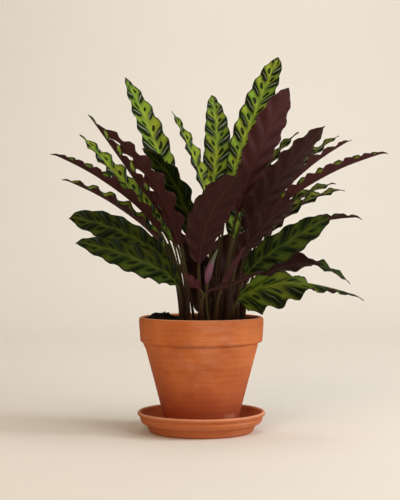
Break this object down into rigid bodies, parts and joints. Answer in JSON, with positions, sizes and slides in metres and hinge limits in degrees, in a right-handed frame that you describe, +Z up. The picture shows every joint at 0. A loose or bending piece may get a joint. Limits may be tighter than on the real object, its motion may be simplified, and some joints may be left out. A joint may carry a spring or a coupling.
{
  "type": "potted rattlesnake plant",
  "caption": "Rattlesnake plant with wavy, dark-spotted leaves and maroon undersides, in a tapered terracotta pot on a terracotta saucer.",
  "frame": {"origin": "centre of the saucer's flat underside", "axes": "+Z up through the middle of the pot, -Y towards the side that the picture shows, +X to the right of it"},
  "size_m": [0.4065, 0.3188, 0.4814],
  "materials": {
    "terracotta": "unglazed fired clay with fine turning lines",
    "saucer_clay": "unglazed fired clay",
    "potting_soil": "rough damp peat and bark",
    "leaf": "satin green above with dark spots, matt maroon below",
    "rolled_leaf": "satin mauve"
  },
  "bodies": {
    "root": {"saucer": "saucer_clay", "pot": "terracotta", "potting_soil": "potting_soil", "leaf_left_tall": "leaf", "leaf_left_shadow": "leaf", "leaf_left_maroon": "leaf", "leaf_left_narrow": "leaf", "leaf_left_green": "leaf", "leaf_left_far": "leaf", "leaf_left_far_low": "leaf", "leaf_left_low_back": "leaf", "leaf_left_low_front": "leaf", "leaf_centre_narrow": "leaf", "leaf_centre_green": "leaf", "leaf_right_tall": "leaf", "leaf_centre_low": "leaf", "leaf_right_maroon": "leaf", "leaf_front_broad": "leaf", "leaf_right_brown": "leaf", "leaf_right_edge": "leaf", "leaf_right_upper": "leaf", "leaf_right_slim": "leaf", "leaf_right_far": "leaf", "leaf_right_wave_upper": "leaf", "leaf_right_wave_lower": "leaf", "leaf_right_inner": "leaf", "leaf_right_green": "leaf", "leaf_right_behind": "leaf", "leaf_right_fold": "leaf", "leaf_right_low": "leaf", "leaf_young_right": "leaf", "leaf_young_left": "leaf", "leaf_low_band": "leaf", "leaf_back_dark": "leaf", "leaf_back_left": "leaf", "leaf_back_low": "leaf", "leaf_back_middle": "leaf", "leaf_back_upright": "leaf", "leaf_back_right": "leaf", "leaf_back_low_right": "leaf", "leaf_rolled": "rolled_leaf"}
  },
  "joints": []
}
